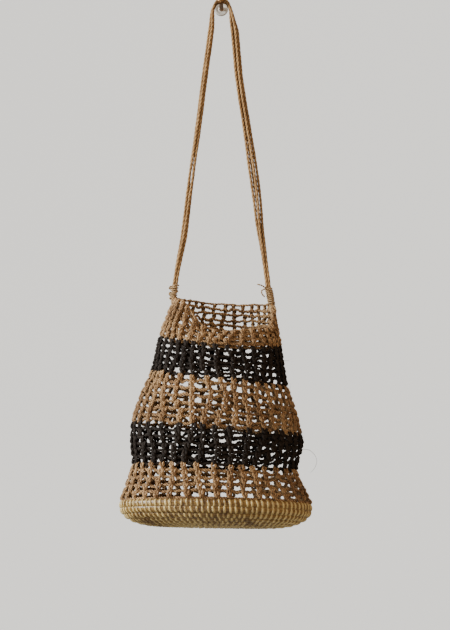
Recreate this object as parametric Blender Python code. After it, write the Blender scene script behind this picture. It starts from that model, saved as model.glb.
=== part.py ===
"""A string bag of looped plant fibre, hanging by its strap from a small wall peg.

The origin is on the wall, behind the middle of the peg. +Z is up, +X is to the right for someone
who faces the wall, and the wall is the plane Y = 0, with the bag in front of it at negative Y.
A turn goes round the bag from the left side (0) past the front (a quarter) to the right (a half).
"""
import math
import random
from collections import namedtuple

import bmesh
import bpy

MM = 0.001  # every size and place below is in millimetres

CLEARANCE = 0.3  # between pieces that touch on the real bag

# The looped net: a wall with a gap in every cell between its ribs and its bars.
NET_WALL = 3.0
NET_COURSES = 31.0
NET_RIBS = 18
NET_ROWS = 16
RIB_SHARE = 0.42  # of the space from rib to rib
BAR_SHARE = 0.40  # of the space from bar to bar
RIM_SHARE = 0.30
LOWEST_GAP_ROW = 6.2  # a row crowded closer than this has no gap wider than 4 mm
UNEVEN_ACROSS = 0.045  # share of a rib space by which the edge of a gap strays
UNEVEN_UP = 0.05  # share of a row by which it strays
RIB_WAVES = ((0.15, 4.1, 2), (0.11, 2.3, 5), (0.07, 1.3, -7))  # size in rib spaces, courses, waves round

# The stiff oval base, worked in rows round and round.
BASE_WALL = 5.0
BASE_ROW = 6.5
BASE_RIDGE = 0.55  # half the height of a row's ridge
BASE_LIP = 7.0  # depth of the upright edge
BASE_BULGE = 1.0
BASE_DEPTH = 26.0  # from the widest line down to the middle
BASE_ROUNDING = 3.2
BASE_MIDDLE = 4.0  # half the width of the oval that closes the bottom
BASE_INNER_RINGS = 9
BASE_LIP_STEPS = 8
BASE_ROUND_STEPS = 240

# The strap: four strands side by side, from binding to binding over the peg.
STRANDS = 4
STRAND_DIAMETER = 3.0
SEAT_SPACING = 3.4  # between strands on the peg
STRAND_STEPS = 2  # curve points for each stretch of the route

# The peg, turned in metal.
PEG_FLANGE_RADIUS = 10.0
PEG_FLANGE_THICKNESS = 3.0
PEG_EDGE = 1.0  # size of the flange's rounded-off edge and of the foot of the shank
PEG_SHANK_RADIUS = 3.0
PEG_KNOB_RADIUS = 6.0
PEG_KNOB_CENTRE = 36.0  # out from the wall
PEG_KNOB_STEPS = 9
PEG_SIDES = 20

BINDING_SIDES = 12
BINDING_RIDGE = 0.45
TIE_DIAMETER = 1.9
TIE_SIDES = 6
TIE_STEPS = 3  # rings for each stretch of a loop or free end

# Outer face of the net at some of its courses, counted down from the rim. Lean is how far the
# front is above the sides where the course lies flat but tilted; crowd draws the ribs towards
# the left and right sides.
Section = namedtuple(
    "Section", "course left_x left_z right_x right_z front_y front_z back_y back_z side_y lean crowd")
SECTIONS = (
    Section(0.0, -64.0, -438.3, 73.0, -446.4, -105.0, -446.5, -45.0, -443.6, -70.0, -6.0, 0.10),
    Section(3.0, -73.2, -460.0, 77.0, -471.1, -110.6, -471.8, -40.7, -464.3, -70.0, -4.7, 0.08),
    Section(7.0, -83.3, -489.0, 82.0, -503.5, -118.0, -505.6, -35.0, -492.0, -70.0, -3.0, 0.05),
    Section(13.0, -94.7, -537.5, 90.2, -558.8, -130.0, -548.5, -22.0, -541.0, -73.0, -1.0, 0.0),
    Section(16.5, -109.5, -573.5, 101.6, -594.0, -138.0, -579.2, -12.0, -580.0, -76.0, 2.0, 0.0),
    Section(20.0, -119.3, -606.5, 108.0, -623.0, -146.0, -610.4, -8.0, -616.0, -79.0, 3.0, 0.01),
    Section(23.0, -120.2, -635.0, 108.4, -641.5, -149.0, -635.4, -7.0, -643.0, -80.0, 4.0, 0.0),
    Section(26.0, -118.6, -662.0, 101.7, -670.9, -152.0, -660.0, -6.0, -670.0, -81.0, 6.0, 0.0),
    Section(28.5, -125.5, -687.4, 111.3, -695.4, -156.0, -681.4, -5.5, -697.0, -82.0, 8.0, -0.04),
    Section(31.0, -134.2, -710.6, 120.9, -715.1, -160.0, -702.6, -5.0, -723.1, -82.5, 10.25, -0.05),
)

# The front of the rim hangs loose, with its courses crowded together: how far it has dropped
# below those sections at some turns, in degrees. The drop is gone at the last loose course.
RimDrop = namedtuple("RimDrop", "degrees drop")
RIM_DROPS = (
    RimDrop(0.0, 0.0), RimDrop(26.0, 0.0), RimDrop(36.0, 3.0), RimDrop(48.0, 14.0), RimDrop(60.0, 29.0),
    RimDrop(72.0, 37.0), RimDrop(90.0, 40.0), RimDrop(110.0, 36.5), RimDrop(130.0, 33.0),
    RimDrop(150.0, 31.0), RimDrop(160.0, 28.0), RimDrop(170.0, 19.0), RimDrop(180.0, 8.5),
    RimDrop(190.0, 1.5), RimDrop(198.0, 0.0), RimDrop(210.0, 0.0), RimDrop(360.0, 0.0),
)
LAST_LOOSE_COURSE = 7.0

# Middle of the strap on its way from the left binding to the right one. Half is half the width
# over the middles of the strands, roll turns the four of them about the strap's own line, and
# hooked lays them side by side along the peg.
StrapPoint = namedtuple("StrapPoint", "x y z half roll hooked")
STRAP = (
    StrapPoint(-63.2, -64.0, -417.1, 1.70, 0.0, 0.0),
    StrapPoint(-60.4, -62.0, -397.0, 2.00, 12.0, 0.0),
    StrapPoint(-51.7, -57.3, -349.0, 3.10, 45.0, 0.0),
    StrapPoint(-45.3, -51.8, -292.0, 3.00, 75.0, 0.0),
    StrapPoint(-40.1, -47.6, -248.0, 3.00, 95.0, 0.0),
    StrapPoint(-32.0, -41.6, -186.0, 3.00, 115.0, 0.0),
    StrapPoint(-23.6, -34.6, -114.0, 2.80, 138.0, 0.0),
    StrapPoint(-14.7, -28.0, -44.0, 2.70, 152.0, 0.10),
    StrapPoint(-13.4, -26.4, -28.0, 2.60, 157.0, 0.45),
    StrapPoint(-12.9, -24.9, -16.0, 2.60, 157.0, 0.85),
    StrapPoint(-11.0, -23.8, -7.0, 2.60, 157.0, 1.0),
    StrapPoint(-6.4, -23.0, 1.4, 2.60, 157.0, 1.0),
    StrapPoint(0.8, -22.8, 4.9, 2.60, 157.0, 1.0),
    StrapPoint(8.4, -23.0, 1.6, 2.60, 157.0, 1.0),
    StrapPoint(12.9, -23.9, -7.5, 2.60, 157.0, 1.0),
    StrapPoint(15.1, -25.0, -16.0, 2.60, 157.0, 0.85),
    StrapPoint(16.9, -26.4, -28.0, 3.20, 155.0, 0.45),
    StrapPoint(19.8, -28.0, -44.0, 4.60, 150.0, 0.10),
    StrapPoint(25.8, -34.6, -114.0, 4.30, 146.0, 0.0),
    StrapPoint(36.1, -41.6, -186.0, 4.80, 144.0, 0.0),
    StrapPoint(44.6, -47.6, -248.0, 5.90, 146.0, 0.0),
    StrapPoint(50.2, -51.8, -292.0, 5.40, 142.0, 0.0),
    StrapPoint(54.3, -55.8, -335.0, 4.00, 128.0, 0.0),
    StrapPoint(60.2, -60.2, -378.0, 2.10, 102.0, 0.0),
    StrapPoint(65.4, -64.0, -421.5, 1.70, 90.0, 0.0),
)
SEATS = (-0.5, -1.5, 0.5, 1.5)  # each strand's place along the peg, in spacings
STRAP_DEPTH = 2.45  # half the depth over the middles of the strands

# A binding's turns from the top down: how thick each is and how far it strays to the left.
Turn = namedtuple("Turn", "radius stray")
Binding = namedtuple("Binding", "name top bottom turns")
LEFT_BINDING = Binding(
    "left_binding", (-63.2, -64.0, -417.7), (-66.0, -68.5, -437.0),
    (Turn(4.4, 0.2), Turn(5.3, 1.4), Turn(4.8, 0.4), Turn(5.6, 1.8), Turn(5.0, 0.6), Turn(4.7, 0.9)))
RIGHT_BINDING = Binding(
    "right_binding", (65.8, -64.0, -422.1), (69.8, -65.5, -444.2),
    (Turn(4.8, 0.0), Turn(5.5, 0.3), Turn(5.3, -0.2), Turn(5.6, 0.1), Turn(5.2, -0.3),
     Turn(5.4, 0.2), Turn(5.1, -0.1), Turn(5.0, 0.2), Turn(4.6, 0.0)))

# The loose loops and the free ends of the yarn that the bindings are wound with.
LEFT_LOOPS = (
    ((-65.0, -65.0, -420.6), (-69.3, -66.2, -420.2), (-72.0, -66.8, -422.9), (-69.6, -66.0, -425.4),
     (-65.0, -65.4, -425.2)),
    ((-66.0, -66.6, -430.4), (-70.3, -68.2, -430.9), (-72.4, -68.8, -433.3), (-70.2, -68.0, -435.0),
     (-66.0, -67.0, -434.2)),
)
RIGHT_ENDS = (
    ((65.6, -66.6, -424.0), (61.0, -68.3, -422.3), (56.2, -69.2, -419.3), (50.0, -69.6, -417.6)),
    ((66.0, -67.2, -425.4), (60.4, -70.4, -424.4), (55.9, -71.0, -427.0), (56.6, -70.8, -431.4),
     (59.9, -70.4, -435.0)),
)

# Colour, roughness and metallic value of each material.
Finish = namedtuple("Finish", "name colour roughness metallic")
NATURAL_FIBRE = Finish("natural_fibre", (0.33, 0.20, 0.10), 0.85, 0.0)
GOLDEN_FIBRE = Finish("golden_fibre", (0.42, 0.30, 0.11), 0.6, 0.0)
AGED_BRASS = Finish("aged_brass", (0.36, 0.22, 0.10), 0.38, 1.0)


def clear_scene():
    """Start with nothing in the file."""
    for item in list(bpy.data.objects):
        bpy.data.objects.remove(item, do_unlink=True)


def blend(low, high, share):
    """The value a given share of the way from low to high."""
    return low + (high - low) * share


def smooth(rows, keys, key):
    """A row of values read at a key from a smooth curve through the rows of a table."""
    key = min(max(key, keys[0]), keys[-1])
    span = max(i for i in range(len(keys) - 1) if keys[i] <= key)
    width = keys[span + 1] - keys[span]
    share = (key - keys[span]) / width

    def slope(i, column):
        before = max(i - 1, 0)
        after = min(i + 1, len(keys) - 1)
        return (rows[after][column] - rows[before][column]) / (keys[after] - keys[before])

    def value(column):
        start = rows[span][column]
        end = rows[span + 1][column]
        rise = width * slope(span, column)
        run_out = width * slope(span + 1, column)
        twice = share * share
        thrice = twice * share
        return (start * (2 * thrice - 3 * twice + 1) + rise * (thrice - 2 * twice + share)
                + end * (3 * twice - 2 * thrice) + run_out * (thrice - twice))

    return [value(column) for column in range(len(rows[0]))]


def rim_drop(course, turn):
    """How far the net has dropped at a course and turn because its rim hangs loose."""
    degrees = math.degrees(turn) % 360.0
    loose = max(0.0, 1.0 - course / LAST_LOOSE_COURSE)
    return loose * smooth(RIM_DROPS, [point.degrees for point in RIM_DROPS], degrees)[1]


def net_point(course, turn, inward):
    """A point of the net's wall at a course and turn, some way in from its outer face."""
    courses = [section.course for section in SECTIONS]
    at = Section(*smooth(SECTIONS, courses, course))
    turn = turn - at.crowd * math.sin(2 * turn)
    half_width = (at.right_x - at.left_x) / 2
    front = math.sin(turn) >= 0
    end_y = at.front_y if front else at.back_y
    half_depth = abs(end_y - at.side_y)
    across = -math.cos(turn) * (half_width - inward) / half_width
    forward = math.sin(turn) * (half_depth - inward) / half_depth
    sides_z = (at.left_z + at.right_z) / 2
    sag = at.front_z - sides_z - at.lean if front else at.back_z - sides_z + at.lean
    return (
        (at.left_x + at.right_x) / 2 + half_width * across,
        at.side_y - half_depth * forward,
        sides_z + (at.right_z - at.left_z) / 2 * across + at.lean * forward + sag * forward ** 2
        - rim_drop(course, turn),
    )


def lean_of_ribs(course, turn):
    """How far a rib has strayed round the bag at a course, in rib spaces; none at the base."""
    hold = math.sin(math.pi * min(course / NET_COURSES, 1.0)) ** 0.5
    return hold * sum(size * math.sin(course / courses + waves * turn)
                      for size, courses, waves in RIB_WAVES)


def new_object(name, bm, finish):
    """Put a bmesh, given in millimetres, into the scene as an object with its own material."""
    bmesh.ops.recalc_face_normals(bm, faces=bm.faces)
    bmesh.ops.scale(bm, vec=(MM, MM, MM), verts=bm.verts)
    mesh = bpy.data.meshes.new(name)
    bm.to_mesh(mesh)
    bm.free()
    item = bpy.data.objects.new(name, mesh)
    bpy.context.scene.collection.objects.link(item)
    mesh.materials.append(material(finish))
    return item


def material(finish):
    """The material of a finish, made once."""
    if finish.name in bpy.data.materials:
        return bpy.data.materials[finish.name]
    made = bpy.data.materials.new(finish.name)
    made.use_nodes = True
    shader = made.node_tree.nodes["Principled BSDF"]
    shader.inputs["Base Color"].default_value = (*finish.colour, 1.0)
    shader.inputs["Roughness"].default_value = finish.roughness
    shader.inputs["Metallic"].default_value = finish.metallic
    return made


def rib_edges():
    """Turns of the two edges of each rib, in rib spaces, from half a rib before the left side."""
    return [rib + side * RIB_SHARE / 2 for rib in range(NET_RIBS) for side in (-1, 1)]


def bar_edges():
    """Rows at the two edges of each bar, from the rim to the base."""
    inner = [bar + side * BAR_SHARE / 2 for bar in range(1, NET_ROWS) for side in (-1, 1)]
    return [0.0, RIM_SHARE] + inner + [NET_ROWS - RIM_SHARE, float(NET_ROWS)]


def net_layer(bm, inward):
    """One face of the net's wall as rows of vertices, its ribs leaning and its gaps uneven."""
    chance = random.Random(7)
    space = 2 * math.pi / NET_RIBS
    layer = []
    for row in bar_edges():
        course_row = []
        free = 0.0 < row < NET_ROWS
        for rib in rib_edges():
            stray_across = chance.uniform(-UNEVEN_ACROSS, UNEVEN_ACROSS)
            stray_up = chance.uniform(-UNEVEN_UP, UNEVEN_UP)
            placed_row = row + stray_up if free else row
            course = placed_row * NET_COURSES / NET_ROWS
            placed_rib = rib + stray_across + lean_of_ribs(course, rib * space) if free else rib
            course_row.append(bm.verts.new(net_point(course, placed_rib * space, inward)))
        layer.append(course_row)
    return layer


def is_gap(row, column, top, low):
    """Whether the cell between two ribs and two bars is cut through."""
    if row % 2 == 0 or column % 2 == 0:
        return False
    height = (top[0].co.z + top[1].co.z - low[0].co.z - low[1].co.z) / 2
    return height > LOWEST_GAP_ROW * (1 - BAR_SHARE)


def net_body():
    """The looped net: ribs down, bars round, and the gaps between them cut through."""
    bm = bmesh.new()
    outer = net_layer(bm, 0.0)
    inner = net_layer(bm, NET_WALL)
    inner_of = {out: ins for out_row, ins_row in zip(outer, inner) for out, ins in zip(out_row, ins_row)}
    count = len(outer[0])
    kept = []
    for row in range(len(outer) - 1):
        for column in range(count):
            beside = (column + 1) % count
            top = (outer[row][column], outer[row][beside])
            low = (outer[row + 1][column], outer[row + 1][beside])
            if not is_gap(row, column, top, low):
                kept.append((top[0], low[0], low[1], top[1]))
    faces = [bm.faces.new(corners) for corners in kept]
    edges = [edge.link_loops[0] for face in faces for edge in face.edges if edge.is_boundary]
    walls = [(loop.link_loop_next.vert, loop.vert) for loop in edges]
    for corners in kept:
        bm.faces.new([inner_of[vert] for vert in reversed(corners)])
    for start, end in walls:
        bm.faces.new((start, end, inner_of[end], inner_of[start]))
    bmesh.ops.delete(bm, geom=[vert for vert in bm.verts if not vert.link_faces], context="VERTS")
    return new_object("net_body", bm, NATURAL_FIBRE)


def base_ring(bm, inset, drop):
    """A ring of the base, set in from the net's lower edge and dropped square to its tilt."""
    at = SECTIONS[-1]
    half_width = (at.right_x - at.left_x) / 2
    half_depth = (at.back_y - at.front_y) / 2
    slope_x = (at.right_z - at.left_z) / (2 * half_width)
    slope_y = -at.lean / half_depth
    length = math.sqrt(1 + slope_x ** 2 + slope_y ** 2)
    ring = []
    for rib in rib_edges():
        turn = rib * 2 * math.pi / NET_RIBS
        turn -= at.crowd * math.sin(2 * turn)
        x = -(half_width - inset) * math.cos(turn)
        y = -(half_depth - inset) * math.sin(turn)
        z = slope_x * x + slope_y * y
        ring.append(bm.verts.new((
            (at.left_x + at.right_x) / 2 + x + drop * slope_x / length,
            at.side_y + y + drop * slope_y / length,
            (at.left_z + at.right_z) / 2 - CLEARANCE + z - drop / length,
        )))
    return ring


def base_profile(wall):
    """Closely spaced (inset, drop) points from the lip to the middle, a wall's depth inside."""
    at = SECTIONS[-1]
    reach = (at.back_y - at.front_y) / 2 + BASE_BULGE - wall - BASE_MIDDLE
    points = []
    for step in range(BASE_LIP_STEPS):
        share = step / BASE_LIP_STEPS
        points.append((wall - BASE_BULGE * math.sin(share * math.pi / 2), BASE_LIP * share))
    for step in range(BASE_ROUND_STEPS + 1):
        angle = step / BASE_ROUND_STEPS * math.pi / 2
        inset = wall - BASE_BULGE + reach * (1 - max(math.cos(angle), 0.0) ** (2 / BASE_ROUNDING))
        points.append((inset, BASE_LIP + (BASE_DEPTH - wall) * math.sin(angle)))
    return points


def along(points, distance):
    """The point of a line of (inset, drop) points at a distance from its start, and its normal."""
    for start, end in zip(points, points[1:]):
        step = math.dist(start, end)
        if distance <= step:
            share = distance / step
            place = (blend(start[0], end[0], share), blend(start[1], end[1], share))
            return place, (-(end[1] - start[1]) / step, (end[0] - start[0]) / step)
        distance -= step
    return points[-1], (0.0, 1.0)


def running_lengths(points):
    """The length of a line of points up to each of them."""
    lengths = [0.0]
    for start, end in zip(points, points[1:]):
        lengths.append(lengths[-1] + math.dist(start, end))
    return lengths


def join_rings(bm, rings):
    """Quads between each ring of vertices and the next."""
    for first, second in zip(rings, rings[1:]):
        count = len(first)
        for i in range(count):
            bm.faces.new((first[i], first[(i + 1) % count], second[(i + 1) % count], second[i]))


def close_oval(bm, ring):
    """Close a long oval ring with a strip of quads across it and a triangle at each end."""
    count = len(ring)
    pairs = [(ring[i], ring[-1 - i]) for i in range(count // 2)]
    for (near, far), (next_near, next_far) in zip(pairs, pairs[1:]):
        bm.faces.new((near, next_near, next_far, far))


def base_body():
    """The oval base: an upright lip, a rounded edge and a flat bottom, ridged row by row."""
    bm = bmesh.new()
    outside = base_profile(0.0)
    half_rows = int(running_lengths(outside)[-1] / (BASE_ROW / 2))
    outer = [base_ring(bm, 0.0, 0.0)]
    for half_row in range(1, half_rows + 1):
        (inset, drop), (out_x, out_z) = along(outside, half_row * BASE_ROW / 2)
        ridge = BASE_RIDGE if half_row % 2 else -BASE_RIDGE
        outer.append(base_ring(bm, inset + ridge * out_x, drop + ridge * out_z))
    inside = base_profile(BASE_WALL)
    step = running_lengths(inside)[-1] / BASE_INNER_RINGS
    inner = [base_ring(bm, *along(inside, i * step)[0]) for i in range(BASE_INNER_RINGS + 1)]
    join_rings(bm, outer)
    join_rings(bm, inner)
    join_rings(bm, [outer[0], inner[0]])
    close_oval(bm, outer[-1])
    close_oval(bm, inner[-1])
    return new_object("woven_base", bm, GOLDEN_FIBRE)


def strand_route(strand):
    """The points of one strand's line, closer together where the strap's rows are."""
    keys = running_lengths([row[:3] for row in STRAP])
    places = [blend(start, end, step / STRAND_STEPS)
              for start, end in zip(keys, keys[1:]) for step in range(STRAND_STEPS)] + [keys[-1]]
    route = []
    for place in places:
        at = StrapPoint(*smooth(STRAP, keys, place))
        angles = [math.radians(45 + 90 * k + at.roll) for k in range(STRANDS)]
        reach = at.half / max(abs(math.cos(angle)) for angle in angles)
        apart_x = reach * math.cos(angles[strand])
        apart_y = STRAP_DEPTH * math.sin(angles[strand])
        seat = SEATS[strand] * SEAT_SPACING
        hooked = min(max(at.hooked, 0.0), 1.0)
        route.append((at.x + (1 - hooked) * apart_x, at.y + blend(apart_y, seat, hooked), at.z))
    return route


def strap_strand(strand):
    """One strand of the strap, a cord on its own line."""
    name = f"strap_strand_{strand + 1}"
    curve = bpy.data.curves.new(name, "CURVE")
    curve.dimensions = "3D"
    curve.bevel_depth = STRAND_DIAMETER / 2 * MM
    curve.bevel_resolution = 2
    curve.use_fill_caps = True
    route = strand_route(strand)
    spline = curve.splines.new("POLY")
    spline.points.add(len(route) - 1)
    for point, place in zip(spline.points, route):
        point.co = (*[value * MM for value in place], 1.0)
    item = bpy.data.objects.new(name, curve)
    bpy.context.scene.collection.objects.link(item)
    curve.materials.append(material(NATURAL_FIBRE))
    return item


def turned_ring(bm, centre, axis, radius, sides):
    """A ring of vertices round an axis that isn't along X."""
    beside = (axis[1], -axis[0], 0.0) if abs(axis[2]) < 0.5 else (1.0, 0.0, -axis[0] / axis[2])
    size = math.sqrt(sum(value * value for value in beside))
    first = [value / size for value in beside]
    second = [axis[1] * first[2] - axis[2] * first[1],
              axis[2] * first[0] - axis[0] * first[2],
              axis[0] * first[1] - axis[1] * first[0]]
    ring = []
    for i in range(sides):
        angle = 2 * math.pi * i / sides
        ring.append(bm.verts.new([
            centre[k] + radius * (math.cos(angle) * first[k] + math.sin(angle) * second[k])
            for k in range(3)]))
    return ring


def direction(start, end):
    """The unit vector from one point to another."""
    length = math.dist(start, end)
    return [(b - a) / length for a, b in zip(start, end)]


def wound_body(binding):
    """A binding: a leaning stack of level turns of yarn, each bulging and straying a little."""
    bm = bmesh.new()
    axis = (0.0, 0.0, -1.0)
    count = len(binding.turns)
    rings = []
    for i, turn in enumerate(binding.turns):
        for share, ridge in ((0.0, -BINDING_RIDGE), (0.5, BINDING_RIDGE)):
            place = (i + share) / count
            centre = [blend(a, b, place) for a, b in zip(binding.top, binding.bottom)]
            centre[0] -= turn.stray if share else turn.stray / 2
            rings.append(turned_ring(bm, centre, axis, turn.radius + ridge, BINDING_SIDES))
    last = binding.turns[-1]
    rings.append(turned_ring(bm, binding.bottom, axis, last.radius - BINDING_RIDGE, BINDING_SIDES))
    join_rings(bm, rings)
    bm.faces.new(rings[0])
    bm.faces.new(rings[-1])
    return new_object(binding.name, bm, NATURAL_FIBRE)


def tie_end(name, points):
    """A short length of yarn along a smooth line through its points, used to join on."""
    bm = bmesh.new()
    keys = list(range(len(points)))
    steps = TIE_STEPS * (len(points) - 1)
    line = [smooth(points, keys, i / TIE_STEPS) for i in range(steps + 1)]
    rings = []
    for i, place in enumerate(line):
        ahead = direction(line[max(i - 1, 0)], line[min(i + 1, steps)])
        rings.append(turned_ring(bm, place, ahead, TIE_DIAMETER / 2, TIE_SIDES))
    join_rings(bm, rings)
    bm.faces.new(rings[0])
    bm.faces.new(rings[-1])
    item = new_object(name, bm, NATURAL_FIBRE)
    item.hide_render = True
    item.display_type = "WIRE"
    return item


def add_yarn(body, lines):
    """Join short lengths of yarn to a binding, so that it stays one solid."""
    for i, points in enumerate(lines):
        joined = body.modifiers.new(f"yarn_{i + 1}", "BOOLEAN")
        joined.operation = "UNION"
        joined.object = tie_end(f"{body.name}_yarn_{i + 1}", points)
    return body


def wall_peg():
    """The peg: a round flange on the wall, a thin shank and a ball knob, turned as one piece."""
    knob_start = math.asin(PEG_SHANK_RADIUS / PEG_KNOB_RADIUS)
    profile = [
        (PEG_FLANGE_RADIUS, 0.0),
        (PEG_FLANGE_RADIUS, PEG_FLANGE_THICKNESS - PEG_EDGE),
        (PEG_FLANGE_RADIUS - PEG_EDGE, PEG_FLANGE_THICKNESS),
        (PEG_SHANK_RADIUS + PEG_EDGE, PEG_FLANGE_THICKNESS + PEG_EDGE / 2),
        (PEG_SHANK_RADIUS, PEG_FLANGE_THICKNESS + 2 * PEG_EDGE),
    ]
    for step in range(PEG_KNOB_STEPS):
        angle = blend(knob_start, math.pi, step / PEG_KNOB_STEPS)
        profile.append((PEG_KNOB_RADIUS * math.sin(angle),
                        PEG_KNOB_CENTRE - PEG_KNOB_RADIUS * math.cos(angle)))
    bm = bmesh.new()
    rings = [turned_ring(bm, (0.0, -out, 0.0), (0.0, -1.0, 0.0), radius, PEG_SIDES)
             for radius, out in profile]
    join_rings(bm, rings)
    bm.faces.new(rings[0])
    bm.faces.new(rings[-1])
    return new_object("wall_peg", bm, AGED_BRASS)


def main():
    """Build every piece."""
    clear_scene()
    net_body()
    base_body()
    add_yarn(wound_body(LEFT_BINDING), LEFT_LOOPS)
    add_yarn(wound_body(RIGHT_BINDING), RIGHT_ENDS)
    for strand in range(STRANDS):
        strap_strand(strand)
    wall_peg()


main()
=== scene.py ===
import math

import bpy
import numpy as np
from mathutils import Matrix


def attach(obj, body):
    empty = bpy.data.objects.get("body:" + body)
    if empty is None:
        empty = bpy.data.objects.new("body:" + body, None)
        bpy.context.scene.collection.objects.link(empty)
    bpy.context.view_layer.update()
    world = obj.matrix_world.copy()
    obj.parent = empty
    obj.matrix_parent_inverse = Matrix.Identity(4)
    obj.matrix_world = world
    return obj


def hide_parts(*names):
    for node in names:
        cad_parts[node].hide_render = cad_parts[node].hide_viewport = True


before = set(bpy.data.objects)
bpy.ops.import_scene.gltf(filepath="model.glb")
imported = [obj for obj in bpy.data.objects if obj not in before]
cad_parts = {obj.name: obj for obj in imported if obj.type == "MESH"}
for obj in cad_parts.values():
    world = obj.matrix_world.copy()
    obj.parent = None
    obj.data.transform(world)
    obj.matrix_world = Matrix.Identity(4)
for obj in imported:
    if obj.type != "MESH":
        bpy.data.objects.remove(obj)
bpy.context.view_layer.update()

# A looped string bag hanging by its strap from a small wall peg. The CAD frame gives the sizes;
# lengths below are in millimetres, made metres when a mesh is written. A turn runs round the bag
# from the left side (0) past the front (a quarter) to the right; a course is counted down from the rim.

chance = np.random.default_rng(23)
mm = 0.001
lap = 2 * math.pi
frontward = np.array([0.0, -1.0, 0.0])

# The net's outer face at some of its courses, as in the CAD source.
netSections = {
    "course": (0, 3, 7, 13, 16.5, 20, 23, 26, 28.5, 31),
    "leftX": (-64, -73.2, -83.3, -94.7, -109.5, -119.3, -120.2, -118.6, -125.5, -134.2),
    "leftZ": (-438.3, -460, -489, -537.5, -573.5, -606.5, -635, -662, -687.4, -710.6),
    "rightX": (73, 77, 82, 90.2, 101.6, 108, 108.4, 101.7, 111.3, 120.9),
    "rightZ": (-446.4, -471.1, -503.5, -558.8, -594, -623, -641.5, -670.9, -695.4, -715.1),
    "frontY": (-105, -110.6, -118, -130, -138, -146, -149, -152, -156, -160),
    "frontZ": (-446.5, -471.8, -505.6, -548.5, -579.2, -610.4, -635.4, -660, -681.4, -702.6),
    "backY": (-45, -40.7, -35, -22, -12, -8, -7, -6, -5.5, -5),
    "backZ": (-443.6, -464.3, -492, -541, -580, -616, -643, -670, -697, -723.1),
    "sideY": (-70, -70, -70, -73, -76, -79, -80, -81, -82, -82.5),
    "lean": (-6, -4.7, -3, -1, 2, 3, 4, 6, 8, 10.25),
    "crowd": (0.10, 0.08, 0.05, 0, 0, 0.01, 0, 0, -0.04, -0.05),
}
sectionColumns = list(netSections)[1:]
sectionRows = np.array([netSections[column] for column in sectionColumns]).T
# The front of the rim hangs loose: how far it drops at some of its turns, less with each course.
rimDrops = {
    "degrees": (0, 26, 36, 48, 60, 72, 90, 110, 130, 150, 160, 170, 180, 190, 198, 210, 360),
    "drop": (0, 0, 3, 14, 29, 37, 40, 36.5, 33, 31, 28, 19, 8.5, 1.5, 0, 0, 0),
    "lastLooseCourse": 7,
}
# How the ribs stray round the bag: waves of (size, courses to a radian, times round), in rib spaces.
ribWaves = {"space": lap / 18, "waves": ((0.15, 4.1, 2), (0.11, 2.3, 5), (0.07, 1.3, -7))}


def cubic(share, width, first, last, firstSlope, lastSlope):
    # The Hermite curve from first to last, read a share of the way over a span of the given width.
    twice = share ** 2
    thrice = share ** 3
    return (first * (2 * thrice - 3 * twice + 1) + last * (3 * twice - 2 * thrice)
            + firstSlope * width * (thrice - 2 * twice + share) + lastSlope * width * (thrice - twice))


def smoothAt(keys, rows, at):
    # A curve through the rows: each slope is the one between the two neighbours, and the curve runs
    # straight on past either end.
    keys, rows, at = (np.asarray(values, float) for values in (keys, rows, at))
    ahead = np.minimum(np.arange(len(keys)) + 1, len(keys) - 1)
    behind = np.maximum(np.arange(len(keys)) - 1, 0)
    slopes = (rows[ahead] - rows[behind]) / (keys[ahead] - keys[behind])[:, None]
    held = np.clip(at, keys[0], keys[-1])
    span = np.clip(np.searchsorted(keys, held, side="right") - 1, 0, len(keys) - 2)
    width = (keys[span + 1] - keys[span])[..., None]
    share = (held - keys[span])[..., None] / width
    past = (at - held)[..., None]
    return (cubic(share, width, rows[span], rows[span + 1], slopes[span], slopes[span + 1])
            + past * np.where(past < 0, slopes[0], slopes[-1]))


def closedSmooth(keys, values, gain, at, length):
    # The same curve round a closed line of the given length; the value grows by gain each lap.
    ahead = np.roll(values, -1, axis=-1)
    ahead[..., -1] += gain
    behind = np.roll(values, 1, axis=-1)
    behind[..., 0] -= gain
    keyAhead = np.append(keys[1:], keys[0] + length)
    keyBehind = np.insert(keys[:-1], 0, keys[-1] - length)
    slopes = (ahead - behind) / (keyAhead - keyBehind)
    span = np.searchsorted(keys, at, side="right") - 1
    width = (keyAhead - keys)[span]
    return cubic((at - keys[span]) / width, width, values[..., span], ahead[..., span],
                 slopes[..., span], slopes[..., (span + 1) % len(keys)])


def unit(vectors):
    # Each vector over its own length.
    return vectors / np.maximum(np.linalg.norm(vectors, axis=-1, keepdims=True), 1e-9)


def runAlong(line):
    # The length run along a line at each of its points.
    return np.concatenate([[0.0], np.cumsum(np.linalg.norm(np.diff(line, axis=0), axis=-1))])


def readAt(at, run, line):
    # The line's points at the lengths in at, on the straights between its own points.
    return np.stack([np.interp(at, run, column) for column in line.T], -1)


def rimDrop(course, turn):
    # The drop at the rim, from a smooth curve round it, falling evenly to none at the last loose course.
    loose = np.maximum(0.0, 1.0 - course / rimDrops["lastLooseCourse"])
    drops = np.array(rimDrops["drop"])[:, None]
    return loose * smoothAt(rimDrops["degrees"], drops, np.degrees(turn) % 360)[..., 0]


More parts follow.
